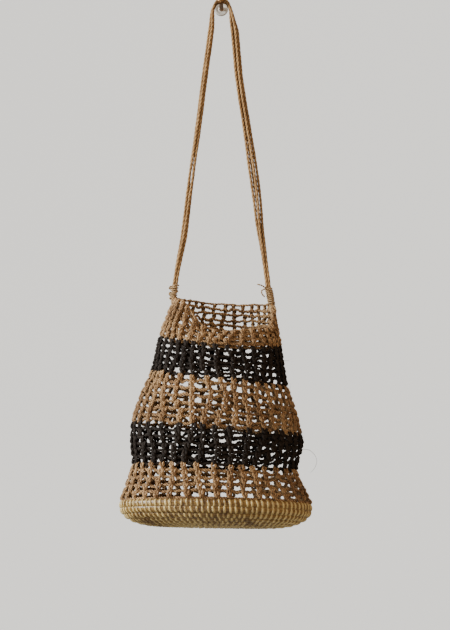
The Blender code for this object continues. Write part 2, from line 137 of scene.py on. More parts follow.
def netPoint(course, turn, inward):
    # An oval for each course: x goes with -cos of the turn, y with -sin and its own half depth in
    # front and behind, and z is a tilted plane plus a sag that goes with sin squared, less the drop.
    course, turn = np.broadcast_arrays(course, turn)
    read = smoothAt(netSections["course"], sectionRows, course)
    leftX, leftZ, rightX, rightZ, frontY, frontZ, backY, backZ, sideY, lean, crowd = np.moveaxis(read, -1, 0)
    turn = turn - crowd * np.sin(2 * turn)
    inFront = np.sin(turn) >= 0
    halfWidth = (rightX - leftX) / 2
    halfDepth = np.abs(np.where(inFront, frontY, backY) - sideY)
    across = -np.cos(turn) * (halfWidth - inward) / halfWidth
    forward = np.sin(turn) * (halfDepth - inward) / halfDepth
    sidesZ = (leftZ + rightZ) / 2
    sag = np.where(inFront, frontZ - sidesZ - lean, backZ - sidesZ + lean)
    return np.stack([(leftX + rightX) / 2 + halfWidth * across,
                     sideY - halfDepth * forward,
                     sidesZ + (rightZ - leftZ) / 2 * across + lean * forward + sag * forward ** 2
                     - rimDrop(course, turn)], -1)


def netFrame(course, turn, inward):
    # The wall's point, its outward normal, and how far it runs for each unit of turn and of course,
    # all from small steps either way.
    small = 0.01
    place = netPoint(course, turn, inward)
    round_ = (netPoint(course, turn + small, inward) - netPoint(course, turn - small, inward)) / (2 * small)
    down = (netPoint(course + small, turn, inward) - netPoint(course - small, turn, inward)) / (2 * small)
    return place, unit(np.cross(down, round_)), np.linalg.norm(round_, axis=-1), np.linalg.norm(down, axis=-1)


def ribLean(course, turn):
    # How far a rib strays round the bag, a sum of slow sine waves that fades at the rim and base.
    hold = np.sin(math.pi * np.clip(course / netSections["course"][-1], 0.0, 1.0)) ** 0.5
    return hold * ribWaves["space"] * sum(size * np.sin(course / slow + count * turn)
                                          for size, slow, count in ribWaves["waves"])


def makeMesh(name, points, quads, corners, tris):
    # Points in millimetres, faces as rows of point numbers, and a (u, v) pair for each quad's corner.
    mesh = bpy.data.meshes.new(name)
    mesh.vertices.add(len(points))
    mesh.vertices.foreach_set("co", (points * mm).astype(np.float32).ravel())
    loops = np.concatenate([quads.ravel(), tris.ravel()]).astype(np.int32)
    starts = np.concatenate([np.arange(len(quads)) * 4, len(quads) * 4 + np.arange(len(tris)) * 3])
    mesh.loops.add(len(loops))
    mesh.loops.foreach_set("vertex_index", loops)
    mesh.polygons.add(len(starts))
    mesh.polygons.foreach_set("loop_start", starts.astype(np.int32))
    mesh.update(calc_edges=True)
    pairs = np.zeros((len(loops), 2), np.float32)
    pairs[:4 * len(quads)] = corners
    mesh.uv_layers.new(name="yarn")
    mesh.uv_layers["yarn"].data.foreach_set("uv", pairs.ravel())
    mesh.shade_smooth()
    mesh.validate()
    made = bpy.data.objects.new(name, mesh)
    bpy.context.scene.collection.objects.link(made)
    return made


def makePiece(name, surface, material, slot, *nodes):
    # A mesh with its material, the body it rides on and what it stands for; its slot in the record is not
    # used.
    made = makeMesh(name, *surface)
    made.data.materials.append(material)
    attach(made, "root")
    if nodes:
        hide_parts(*nodes)
    return made


def tubes(paths, radii, normals, sides, closed, lobe=0.0, plies=2, twistPitch=0.0, flat=(1.0, 1.0)):
    # Tubes along n paths of m points. Round each point, angle a puts a corner at radius
    # * (1 + lobe * cos(plies * a)) * (flat0 * cos(a + twist) * normal + flat1 * sin(a + twist) * sideways),
    # where twist turns once in about each twistPitch of length, a whole number of times in all. The u
    # of a corner is its length along the path in metres, the v its share of a.
    count, steps, _ = paths.shape
    spans = steps if closed else steps - 1
    after = (np.arange(spans) + 1) % steps
    along = np.roll(paths, -1, axis=1) - np.roll(paths, 1, axis=1) if closed else np.gradient(paths, axis=1)
    tangents = unit(along)
    gaps = np.linalg.norm(paths[:, after] - paths[:, :spans], axis=-1)
    lengths = np.concatenate([np.zeros((count, 1)), np.cumsum(gaps, axis=1)], axis=1)
    sideways = unit(np.cross(tangents, normals))
    upright = np.cross(sideways, tangents)
    angle = np.arange(sides) * lap / sides
    whole = lengths[:, -1:]
    turns = np.round(whole / twistPitch) if twistPitch else 0.0 * whole
    turned = angle + (lap * turns * lengths[:, :steps] / whole)[..., None]
    reach = (radii[..., None] * (1 + lobe * np.cos(plies * angle)))[..., None]
    points = (paths[:, :, None] + reach * (flat[0] * np.cos(turned)[..., None] * upright[:, :, None]
                                           + flat[1] * np.sin(turned)[..., None] * sideways[:, :, None]))
    points = points.reshape(-1, 3)
    number = np.arange(count * steps * sides).reshape(count, steps, sides)
    here = number[:, :spans]
    there = number[:, after]
    quads = np.stack([here, np.roll(here, -1, axis=2), np.roll(there, -1, axis=2), there], -1).reshape(-1, 4)
    u0, u1 = (np.broadcast_to(lengths[:, k:k + spans, None] * mm, here.shape) for k in (0, 1))
    v0 = np.broadcast_to(np.arange(sides) / sides, here.shape)
    v1 = v0 + 1 / sides
    corners = np.stack([u0, v0, u0, v1, u1, v1, u1, v0], -1).reshape(-1, 2)
    if closed:
        return points, quads, corners, np.zeros((0, 3), int)
    middle = len(points) + np.arange(2 * count).reshape(2, count, 1) * np.ones(sides, int)
    first = number[:, 0]
    last = number[:, -1]
    tris = np.concatenate([np.stack([middle[0], np.roll(first, -1, axis=1), first], -1).reshape(-1, 3),
                           np.stack([middle[1], last, np.roll(last, -1, axis=1)], -1).reshape(-1, 3)])
    return np.concatenate([points, paths[:, 0], paths[:, -1]]), quads, corners, tris


def tube(line, radius, facing, sides, closed, **look):
    # One tube along one line, its radius and its facing given at each point or once for all.
    return tubes(line[None], np.broadcast_to(radius, (1, len(line))),
                 np.broadcast_to(facing, (1, len(line), 3)), sides, closed, **look)


def joined(parts):
    # Several tube results as one, with the point numbers of each moved up past those before it.
    points, quads, corners, tris = zip(*parts)
    past = np.cumsum([0, *map(len, points)])
    return (np.concatenate(points), np.concatenate([rows + moved for rows, moved in zip(quads, past)]),
            np.concatenate(corners), np.concatenate([rows + moved for rows, moved in zip(tris, past)]))


def turnedRound(radius, height, sides, tip):
    # A profile of radius against height, carried round the z axis and closed at both ends, the last
    # one drawn out by tip.
    angle = np.arange(sides) * lap / sides
    rings = np.stack([radius[:, None] * np.cos(angle), radius[:, None] * np.sin(angle),
                      height[:, None] * np.ones(sides)], -1)
    number = np.arange(len(radius) * sides).reshape(-1, sides)
    ahead = np.roll(number, -1, axis=1)
    quads = np.stack([number[:-1], number[1:], ahead[1:], ahead[:-1]], -1).reshape(-1, 4)
    tris = np.concatenate([np.stack([np.full(sides, number.size), number[0], ahead[0]], -1),
                           np.stack([np.full(sides, number.size + 1), ahead[-1], number[-1]], -1)])
    centres = [[0, 0, height[0]], [0, 0, height[-1] + tip]]
    return np.concatenate([rings.reshape(-1, 3), centres]), quads, tris


# The camera stands where the photograph was taken from, a little below the middle of the bag's
# height and tipped up. The picture's long side and the focal length are in pixels.
cameraPlace = {"x": 0.0056, "y": -1.58, "z": -0.6162, "tipUp": 5.9, "focalPixels": 1108, "longSide": 630,
               "sensor": 36}


def makeCamera(place):
    # The lens length is the focal length in pixels over the long side of the picture, times the sensor.
    lens = bpy.data.cameras.new("viewCamera")
    lens.sensor_width = place["sensor"]
    lens.lens = place["focalPixels"] / place["longSide"] * place["sensor"]
    camera = bpy.data.objects.new("viewCamera", lens)
    camera.location = (place["x"], place["y"], place["z"])
    camera.rotation_euler = (math.radians(90 + place["tipUp"]), 0.0, 0.0)
    bpy.context.scene.collection.objects.link(camera)
    bpy.context.scene.camera = camera


makeCamera(cameraPlace)


# Materials. Two groups are shared: one for spun yarn and one for slow patches of tone.
def setInputs(tree, node, values):
    # Sets inputs of a node to a number or a colour, or links another node's output to them.
    for label, value in values.items():
        if isinstance(value, (int, float)):
            node.inputs[label].default_value = value
        elif isinstance(value, tuple):
            node.inputs[label].default_value = (*value, 1.0)
        else:
            tree.links.new(value, node.inputs[label])


def placeNode(tree, kind, values, **settings):
    # Places a node with its settings and inputs, and hands back its outputs.
    node = tree.nodes.new("ShaderNode" + kind)
    for name, value in settings.items():
        setattr(node, name, value)
    setInputs(tree, node, values)
    return node.outputs


def mathNode(tree, operation, *values):
    # One arithmetic node.
    return placeNode(tree, "Math", dict(enumerate(values)), operation=operation)[0]


def noiseNode(tree, vector, scale, detail=2.0, rough=0.5):
    # Smooth noise from 0 to 1 at a scale.
    return placeNode(tree, "TexNoise", {"Vector": vector, "Scale": scale, "Detail": detail,
                                        "Roughness": rough})[0]


def mixColours(tree, share, first, second):
    # A colour the given share of the way from first to second.
    return placeNode(tree, "Mix", {0: share, 6: first, 7: second}, data_type="RGBA")[2]


def rangeNode(tree, value, low, high, newLow, newHigh):
    # Value from low to high, read as newLow to newHigh and held at its ends.
    return placeNode(tree, "MapRange", {"Value": value, "From Min": low, "From Max": high,
                                        "To Min": newLow, "To Max": newHigh})["Result"]


def roundNoise(tree, angle, radius, run, scale):
    # Fibre noise on a cylinder, so that it closes round a strand: at radius * (cos, sin) and run.
    across, up = (mathNode(tree, "MULTIPLY", mathNode(tree, kind, angle), radius)
                  for kind in ("COSINE", "SINE"))
    return noiseNode(tree, placeNode(tree, "CombineXYZ", {0: across, 1: up, 2: run})[0], scale, 3.0, 0.6)


def newGroup(name, inputs, outputs):
    # An empty shader group: its inputs with their kinds of value, and its outputs, all numbers.
    group = bpy.data.node_groups.new(name, "ShaderNodeTree")
    for label, kind in inputs.items():
        group.interface.new_socket(name=label, in_out="INPUT", socket_type="NodeSocket" + kind)
    for label in outputs:
        group.interface.new_socket(name=label, in_out="OUTPUT", socket_type="NodeSocketFloat")
    return group, group.nodes.new("NodeGroupInput").outputs, group.nodes.new("NodeGroupOutput")


# What all spun yarn shares: the fibres' noise on the yarn, how fibres and patches are read as shares
# of the light tone and the ridge, read as the share of painted shade in the groove between the plies,
# the shine, and the bump's strength and depth in metres. The plies are wound by the mesh itself, so the pitch
# in metres is a long one.
yarnLook = {"pitch": 1000, "fibreRadius": 0.8, "fibreLong": 90, "fibreScale": 5,
            "ridgeHeight": 0.6, "fibreHeight": 0.4, "fibres": (0.40, 0.60, 0, 0.60),
            "patches": (0.42, 0.58, 0, 0.50), "grooveShade": (0, 0.6, 0.85, 0),
            "rough": 0.82, "shine": 0.25, "sheenRough": 0.5, "bump": 0.7, "bumpDepth": 0.0005}
patchLook = {"Coarse": 0.55, "Fine": 0.45}


def spunYarnGroup(look):
    # With w = v + u / pitch: the plies' ridge is cos(2 pi plies w), and the fibres are noise on a
    # cylinder that turns with w, long in the yarn's own direction.
    group, given, out = newGroup("spunYarn", {"Along": "Vector", "Pitch": "Float", "Plies": "Float"},
                                 ("Ridge", "Fibre", "Height"))
    parts = placeNode(group, "SeparateXYZ", {0: given["Along"]})
    wound = mathNode(group, "ADD", parts[1], mathNode(group, "DIVIDE", parts[0], given["Pitch"]))
    turned = mathNode(group, "MULTIPLY", wound, lap)
    wave = mathNode(group, "COSINE", mathNode(group, "MULTIPLY", turned, given["Plies"]))
    ridge = mathNode(group, "MULTIPLY_ADD", wave, 0.5, 0.5)
    run = mathNode(group, "MULTIPLY", parts[0], look["fibreLong"])
    fibre = roundNoise(group, turned, look["fibreRadius"], run, look["fibreScale"])
    height = mathNode(group, "ADD", mathNode(group, "MULTIPLY", ridge, look["ridgeHeight"]),
                      mathNode(group, "MULTIPLY", fibre, look["fibreHeight"]))
    setInputs(group, out, {"Ridge": ridge, "Fibre": fibre, "Height": height})
    return group


def patchGroup(look):
    # Slow patches of tone: two noises on the object's own coordinates, one coarse and one finer.
    group, given, out = newGroup("tonePatches", {"Place": "Vector", "Coarse": "Float", "Fine": "Float"},
                                 ("Tone",))
    noises = [mathNode(group, "MULTIPLY", noiseNode(group, given["Place"], given[label]), share)
              for label, share in look.items()]
    setInputs(group, out, {"Tone": mathNode(group, "ADD", *noises)})
    return group


spunYarn = spunYarnGroup(yarnLook)
tonePatches = patchGroup(patchLook)


def startMaterial(name, coarse, fine):
    # A material with its shader, its UV map, the object's coordinates and the patches on them.
    material = bpy.data.materials.new(name)
    material.use_nodes = True
    tree = material.node_tree
    along = placeNode(tree, "UVMap", {}, uv_map="yarn")[0]
    place = placeNode(tree, "TexCoord", {})["Object"]
    patches = placeNode(tree, "Group", {"Place": place, "Coarse": coarse, "Fine": fine},
                        node_tree=tonePatches)
    return material, tree, tree.nodes["Principled BSDF"], along, place, patches["Tone"]


def addBump(tree, shader, height, strength, depth):
    # Height as a bump on the shader's normal, depth in metres.
    bump = placeNode(tree, "Bump", {"Strength": strength, "Distance": depth, "Height": height})
    setInputs(tree, shader, {"Normal": bump[0]})


# The deep tone of each yarn is painted shade, laid in the groove between its plies.
yarnTones = {
    "naturalYarn": {"light": (0.64, 0.40, 0.19), "middle": (0.125, 0.050, 0.015),
                    "deep": (0.030, 0.010, 0.003), "plies": 3, "sheen": 0.05, "coarse": 28, "fine": 320},
    "darkYarn": {"light": (0.030, 0.0195, 0.013), "middle": (0.012, 0.0076, 0.0052),
                 "deep": (0.005, 0.0034, 0.0024), "plies": 3, "sheen": 0, "coarse": 28, "fine": 320},
    "strapYarn": {"light": (0.52, 0.32, 0.14), "middle": (0.24, 0.125, 0.045),
                  "deep": (0.13, 0.065, 0.023), "plies": 2, "sheen": 0.05, "coarse": 35, "fine": 180},
    "windingYarn": {"light": (0.66, 0.47, 0.26), "middle": (0.36, 0.22, 0.10),
                    "deep": (0.12, 0.06, 0.02), "plies": 2, "sheen": 0.05, "coarse": 60, "fine": 320},
}


def yarnMaterial(name, tone, look):
    # Colour runs from middle to light with the fibres and the patches, and falls to deep, a painted
    # shade, in the groove between the plies.
    material, tree, shader, along, _, patches = startMaterial(name, tone["coarse"], tone["fine"])
    spun = placeNode(tree, "Group", {"Along": along, "Pitch": look["pitch"], "Plies": tone["plies"]},
                     node_tree=spunYarn)
    share = mathNode(tree, "ADD", rangeNode(tree, spun["Fibre"], *look["fibres"]),
                     rangeNode(tree, patches, *look["patches"]))
    lit = mixColours(tree, share, tone["middle"], tone["light"])
    grooveShade = rangeNode(tree, spun["Ridge"], *look["grooveShade"])
    setInputs(tree, shader, {"Base Color": mixColours(tree, grooveShade, lit, tone["deep"]),
                             "Roughness": look["rough"], "Specular IOR Level": look["shine"],
                             "Sheen Weight": tone["sheen"], "Sheen Roughness": look["sheenRough"]})
    addBump(tree, shader, spun["Height"], look["bump"], look["bumpDepth"])
    return material


yarns = {name: yarnMaterial(name, tone, yarnLook) for name, tone in yarnTones.items()}
print("materials made")

# The looped net. Each stitch is a loop of yarn with its feet crossed, drawn up through the head of
# the one below. Half a stitch runs from the middle of a bar to the top of the loop; the other half
# mirrors it. Rib is in half rib widths, bar in half spaces between ribs, rise in courses, out in mm.
net = {
    "columns": 36,
    "courses": 31,
    "wall": 3,
    "yarnRadius": 1.95,
    "flat": (0.68, 1.10),
    "steps": 38,
    "sides": 6,
    "twist": {"lobe": 0.13, "plies": 3, "twistPitch": 12},
    "ribShare": 0.175,
    "ribLeast": 1.55,
    "ribMost": 3.3,
    "laidCourse": 9.8,
    "laidStitch": 20,
    "easyPitch": 6,
    "crowdedPitch": 6.5,
    "crowdedRange": 3.5,
    "crowdedRise": 2,
    "crowdedOut": 2.4,
    "crowdedSwell": 0.12,
    "tautCourse": 7.5,
    "tautRange": 4,
    "tautThin": 0.08,
    "tautNarrow": 0.32,
    "darkThin": 0.05,
    "rimMargin": 0.12,
}
# How uneven the stitches are: the spread of each measure, the sway of the courses in waves of (size,
# times round, radians to a course), and the slow swelling of the yarn.
uneven = {
    "all": 0.8,
    "centre": 0.07,
    "ribWidth": 0.12,
    "rib": 0.12,
    "rise": 0.06,
    "course": 0.05,
    "bar": 0.15,
    "out": 0.22,
    "sway": ((0.10, 3, 1.7), (0.08, 7, -2.3)),
    "swellKnots": 150,
    "swell": 0.12,
}
stitch = {
    "length": (0, 4.1, 7.2, 9.6, 13.2, 16.1, 18.7, 21.2, 23.7, 26.3, 29.2, 32.6, 35.9, 39.1),
    "total": 43.2,
    "rib": (0, 0, -0.85, -0.04, 0.60, 0.64, 0.30, 0, -0.30, -0.64, -0.60, 0.04, 0.85, 0),
    "bar": (-1, -0.55, 0, 0, 0, 0, 0, 0, 0, 0, 0, 0, 0, 0.55),
    "rise": (-0.03, 0.00, 0.03, 0.25, 0.52, 0.80, 1.02, 1.12, 1.02, 0.80, 0.52, 0.25, 0.03, 0.00),
    "thick": (1.04, 1.02, 0.98, 0.94, 0.96, 0.96, 0.94, 0.90, 0.94, 0.96, 0.96, 0.94, 0.98, 1.02),
    "out": (-1.1, -1.3, -1.5, -0.2, 1.7, 1.7, -0.2, -1.9, -0.2, 1.7, 1.9, 2.4, -0.7, -1.3),
}
netBands = (
    ("netNaturalTop", 0, 7, "natural"),
    ("netDarkTop", 7, 13, "dark"),
    ("netNaturalMiddle", 13, 20, "natural"),
    ("netDarkLow", 20, 26, "dark"),
    ("netNaturalLow", 26, 31, "natural"),
)


def tautShare(net, course, turn):
    # One along the back of the rim, which is stretched between the bindings, falling to none.
    return np.clip((net["tautCourse"] - course) / net["tautRange"], 0, 1) * np.clip(-2 * np.sin(turn), 0, 1)


def crowdedShare(net, pitch):
    # One where the courses are crowded to half their usual height, none where they lie easy.
    return np.clip((net["crowdedPitch"] - pitch) / net["crowdedRange"], 0, 1)


def netCourses(net, stitch, uneven):
    # Each course's yarn as a closed smooth line through its stitches' key points, read at even
    # steps, in turns, courses and millimetres out, and then carried onto the wall.
    courses = net["courses"]
    columns = net["columns"]
    loose = uneven["all"]
    bar = np.array(stitch["bar"])
    every = (courses, columns)
    everyKey = (courses, columns, len(bar))
    feet = (np.arange(courses) + 1.0)[:, None]
    space = lap / columns
    flatTurn = np.broadcast_to(np.arange(columns) * space, every)
    centre = flatTurn + ribLean(feet - 0.5, flatTurn) + chance.normal(0, uneven["centre"], every) * space
    before = centre - np.roll(centre, 1, axis=1)
    before[:, 0] += lap
    ahead = np.roll(before, -1, axis=1)
    _, _, perTurn, perCourse = netFrame(np.broadcast_to(feet - 0.5, every), centre, net["wall"] / 2)
    halfRib = np.clip(net["ribShare"] * perTurn * space, net["ribLeast"], net["ribMost"])
    halfRib = halfRib * (1 + loose * chance.normal(0, uneven["ribWidth"], every))
    halfRib = halfRib * (1 - net["tautNarrow"] * tautShare(net, feet - 0.5, centre))
    barTurn = np.where(bar < 0, before[..., None], ahead[..., None]) / 2 * bar
    ribTurn = np.array(stitch["rib"]) * (halfRib / perTurn)[..., None]
    ribTurn = ribTurn * (1 + loose * chance.normal(0, uneven["rib"], everyKey))
    rise = np.array(stitch["rise"]) * (1 + loose * chance.normal(0, uneven["rise"], every))[..., None]
    rise = rise * np.clip(net["easyPitch"] / perCourse, 1.0, net["crowdedRise"])[..., None]
    rise = np.minimum(rise, (feet - net["rimMargin"])[..., None])
    sway = sum(size * np.sin(times * flatTurn + slant * feet) for size, times, slant in uneven["sway"])
    drift = chance.normal(0, uneven["course"], every)
    barDrop = (np.abs(bar) > 0) * chance.normal(0, uneven["bar"], every)[..., None]
    edge = np.minimum(1.0, courses - feet)
    atCourse = feet[..., None] - rise + loose * ((sway + drift)[..., None] + barDrop) * edge[..., None]
    atTurn = centre[..., None] + barTurn + ribTurn
    out = np.array(stitch["out"]) + loose * chance.normal(0, uneven["out"], everyKey)
    out = out + (net["crowdedOut"] * crowdedShare(net, perCourse) * np.cos(math.pi * feet))[..., None]
    keys = (np.arange(columns)[:, None] * stitch["total"] + np.array(stitch["length"])).ravel()
    length = columns * stitch["total"]
    at = np.arange(columns * net["steps"]) * stitch["total"] / net["steps"]
    turn, course, proud, thick = (
        closedSmooth(keys, values.reshape(-1, len(keys)), gain, at, length) for values, gain in
        ((atTurn, lap), (atCourse, 0.0), (out, 0.0), (np.tile(stitch["thick"], columns), 0.0)))
    place, normal, _, pitch = netFrame(course, turn, net["wall"] / 2)
    swell = thick + net["crowdedSwell"] * crowdedShare(net, pitch)
    swell = swell - net["tautThin"] * tautShare(net, course, turn)
    return place + proud[..., None] * normal, normal, swell


def slowNoise(shape, knots, size):
    # Random values at evenly spaced knots along each closed line, joined smoothly.
    rows, steps = shape
    keys = np.arange(knots) * steps / knots
    return size * closedSmooth(keys, chance.normal(0, 1, (rows, knots)), 0.0, np.arange(steps), steps)


def makeNet(net, stitch, uneven):
    # The courses as twisted tubes, one piece for each band of colour. Laid flat and spread, every
    # band has the same width, since all its courses have the same number of stitches.
    paths, normals, swell = netCourses(net, stitch, uneven)
    slow = slowNoise(paths.shape[:2], uneven["swellKnots"], uneven["swell"])
    radii = net["yarnRadius"] * swell * (1 + slow)
    for name, first, last, tone in netBands:
        rows = slice(first, last)
        thin = 1 - net["darkThin"] * (tone == "dark")
        surface = tubes(paths[rows], thin * radii[rows], normals[rows], net["sides"], True,
                        **net["twist"], flat=net["flat"])
        made = makePiece(name, surface, yarns[tone + "Yarn"], tone + "_yarn", "net_body")
    return paths


netPaths = makeNet(net, stitch, uneven)
print("net made")

# The base: rows of core laid round and round, each wrapped in plump flat stitches.
base = {
    "row": 9.6,
    "lip": 7,
    "bulge": 1,
    "depth": 26,
    "rounding": 3.2,
    "middle": 4,
    "lipSteps": 8,
    "curveSteps": 400,
    "clearance": 0.3,
    "coreInset": 3.2,
    "coreRadius": 4,
    "coreFlat": (0.66, 1.26),
    "coreSides": 10,
    "coreSteps": 160,
    "readSteps": 721,
    "middleSteps": 48,
    "middleInset": 0.2,
    "wrapSpace": 6.9,
    "wrapHalfWidth": 1.95,
    "wrapHalfThick": 0.95,
    "wrapOut": 2.9,
    "wrapUp": 4.7,
    "wrapSlant": 0.7,
    "wrapThin": 0.22,
    "wrapSteps": 10,
    "wrapSides": 6,
    "fewestWraps": 6,
    "spaceStray": 0.06,
    "strays": {"wrapOut": 0.05, "wrapUp": 0.04, "wrapSlant": 0.35, "wrapHalfWidth": 0.08},
    "small": 0.5,
}
basePlane = dict(zip(sectionColumns, sectionRows[-1]))
basePlane["halfWidth"] = (basePlane["rightX"] - basePlane["leftX"]) / 2
basePlane["halfDepth"] = (basePlane["backY"] - basePlane["frontY"]) / 2


def basePoint(turn, inset, drop):
    # An oval set in from the net's lower edge, on the edge's tilted plane, dropped square to it.
    at = basePlane
    slopeX = (at["rightZ"] - at["leftZ"]) / (2 * at["halfWidth"])
    slopeY = -at["lean"] / at["halfDepth"]
    size = math.sqrt(1 + slopeX ** 2 + slopeY ** 2)
    turn = turn - at["crowd"] * np.sin(2 * turn)
    x = -(at["halfWidth"] - inset) * np.cos(turn)
    y = -(at["halfDepth"] - inset) * np.sin(turn)
    z = slopeX * x + slopeY * y
    return np.stack([(at["leftX"] + at["rightX"]) / 2 + x + drop * slopeX / size,
                     at["sideY"] + y + drop * slopeY / size,
                     (at["leftZ"] + at["rightZ"]) / 2 - base["clearance"] + z - drop / size], -1)


def baseProfile(base):
    # Inset and drop along the base's outside: a lip that bulges with a sine, then the curve
    # (1 - inset / reach) ^ rounding + (drop / depth) ^ 2 = 1 down to the middle.
    reach = basePlane["halfDepth"] + base["bulge"] - base["middle"]
    share = np.arange(base["lipSteps"]) / base["lipSteps"]
    angle = np.linspace(0, math.pi / 2, base["curveSteps"])
    left = np.maximum(np.cos(angle), 0) ** (2 / base["rounding"])
    lip = -base["bulge"] * np.sin(share * math.pi / 2)
    inset = np.concatenate([lip, -base["bulge"] + reach * (1 - left)])
    drop = np.concatenate([base["lip"] * share, base["lip"] + base["depth"] * np.sin(angle)])
    return np.stack([inset, drop], -1)


def baseRows(base):
    # The middle of each row on the profile, moved in to the core, with the profile's direction.
    line = baseProfile(base)
    run = runAlong(line)
    rows = int(run[-1] / base["row"])
    at = (np.arange(rows) + 0.5) * run[-1] / rows
    heading = unit(readAt(at + base["small"], run, line) - readAt(at - base["small"], run, line))
    inward = np.stack([heading[:, 1], -heading[:, 0]], -1)
    return zip(readAt(at, run, line) + base["coreInset"] * inward, heading, inward)


def baseFrame(turn, place, heading, inward):
    # A point on a row's core with its outward, downward and forward directions.
    small = base["small"]
    tiny = 0.002
    here = basePoint(turn, *place)
    outward = unit(here - basePoint(turn, *(place + small * inward)))
    downward = unit(basePoint(turn, *(place + small * heading)) - here)
    return here, outward, downward, unit(basePoint(turn + tiny, *place) - basePoint(turn - tiny, *place))


def wrapRings(base, here, outward, downward, along):
    # A wrap is a closed flat band round the core, at angle a out * cos a outward and up * sin a
    # downward, drawn sideways by slant * sin a.
    angle = np.arange(base["wrapSteps"]) * lap / base["wrapSteps"]
    out, up, slant, width = ((base[name] * (1 + chance.normal(0, stray, len(here))))[:, None]
                             for name, stray in base["strays"].items())
    ring = (here[:, None] + (out * np.cos(angle))[..., None] * outward[:, None]
            + (up * np.sin(angle))[..., None] * downward[:, None]
            + (slant * np.sin(angle))[..., None] * along[:, None])
    normal = unit(np.cos(angle)[:, None] * outward[:, None] + np.sin(angle)[:, None] * downward[:, None])
    width = width * (1 - base["wrapThin"] * np.abs(np.sin(angle)))
    return tubes(ring, width, normal, base["wrapSides"], True,
                 flat=(base["wrapHalfThick"] / base["wrapHalfWidth"], 1.0))


def baseMiddle(base):
    # The short straight row that the others are laid round: its core and its wraps.
    halfDepth = basePlane["halfDepth"]
    drop = base["lip"] + base["depth"] - base["coreInset"]
    line = basePoint(np.linspace(0, math.pi, base["middleSteps"]), halfDepth - base["middleInset"], drop)
    below = unit(basePoint(0.0, halfDepth, drop + 1.0) - basePoint(0.0, halfDepth, drop))
    core = tube(line, base["coreRadius"], below, base["coreSides"], False, flat=base["coreFlat"])
    whole = line[-1] - line[0]
    count = int(round(np.linalg.norm(whole) / base["wrapSpace"]))
    here = line[0] + ((np.arange(count) + 0.5) / count)[:, None] * whole
    along = np.broadcast_to(unit(whole), here.shape)
    outward = np.broadcast_to(below, here.shape)
    return core, wrapRings(base, here, outward, np.cross(along, outward), along)


def baseRow(base, odd, *row):
    # One row: a core tube and its wraps, which stand between those of the row before.
    turn = np.arange(base["coreSteps"]) * lap / base["coreSteps"]
    here, outward, _, _ = baseFrame(turn, *row)
    core = tube(here, base["coreRadius"], outward, base["coreSides"], True, flat=base["coreFlat"])
    fine = np.linspace(0, lap, base["readSteps"])
    run = runAlong(basePoint(fine, *row[0]))
    count = max(int(round(run[-1] / base["wrapSpace"])), base["fewestWraps"])
    at = (np.arange(count) + 0.5 * odd + chance.normal(0, base["spaceStray"], count)) * run[-1] / count
    return core, wrapRings(base, *baseFrame(np.interp(at % run[-1], run, fine), *row))


# The base's fibre: its tones, how long its streaks are, and the length of a wrap's loop in metres.
fibreTones = {
    # The cores are toned far darker than the wraps: painted shade for the gaps between the wraps.
    "baseCores": {"light": (0.36, 0.22, 0.06), "middle": (0.13, 0.065, 0.016),
                  "brown": (0.08, 0.036, 0.011), "long": 9, "loop": 0},
    "baseWraps": {"light": (0.97, 0.77, 0.35), "middle": (0.35, 0.225, 0.068),
                  "brown": (0.14, 0.07, 0.02), "long": 60, "loop": 0.0238},
}
fibreLook = {"coarse": 16, "fine": 130, "streakScale": 6, "streaks": (0.35, 0.68, 0, 1),
             "browning": (0.50, 0.64, 0, 0.85), "ends": (0, 0.6, 0.85, 0),
             "rough": 0.34, "shine": 0.5, "bump": 0.5, "bumpDepth": 0.0004}


def fibreMaterial(name, tone, look):
    # Streaks run along each strand: noise that is long in u and fine in v; slow patches turn it
    # brown, and the ends of a wrap, where cos(2 pi u / loop) is low, between the rows, get painted shade
    # in the cores' brown.
    material, tree, shader, along, _, patches = startMaterial(name, look["coarse"], look["fine"])
    parts = placeNode(tree, "SeparateXYZ", {0: along})
    run = mathNode(tree, "MULTIPLY", parts[0], tone["long"])
    streak = roundNoise(tree, mathNode(tree, "MULTIPLY", parts[1], lap), 1.0, run, look["streakScale"])
    lit = mixColours(tree, rangeNode(tree, streak, *look["streaks"]), tone["middle"], tone["light"])
    brownedAndShaded = mixColours(tree, rangeNode(tree, patches, *look["browning"]), lit, tone["brown"])
    # Painted shade: where the wraps turn in between the rows, their ends are darkened to the cores' brown.
    if tone["loop"]:
        level = mathNode(tree, "COSINE", mathNode(tree, "MULTIPLY", parts[0], lap / tone["loop"]))
        brownedAndShaded = mixColours(tree, rangeNode(tree, level, *look["ends"]), brownedAndShaded,
                             fibreTones["baseCores"]["brown"])
    setInputs(tree, shader, {"Base Color": brownedAndShaded, "Roughness": look["rough"],
                             "Specular IOR Level": look["shine"]})
    addBump(tree, shader, streak, look["bump"], look["bumpDepth"])
    return material


def makeBase(base):
    # The cores as one piece and their wraps as another.
    rows = [baseRow(base, number % 2, *row) for number, row in enumerate(baseRows(base))]
    rows.append(baseMiddle(base))
    for parts, (name, tone) in zip(zip(*rows), fibreTones.items()):
        makePiece(name, joined(parts), fibreMaterial(name + "Fibre", tone, fibreLook), "golden_fibre",
                  "woven_base")


makeBase(base)
print("base made")

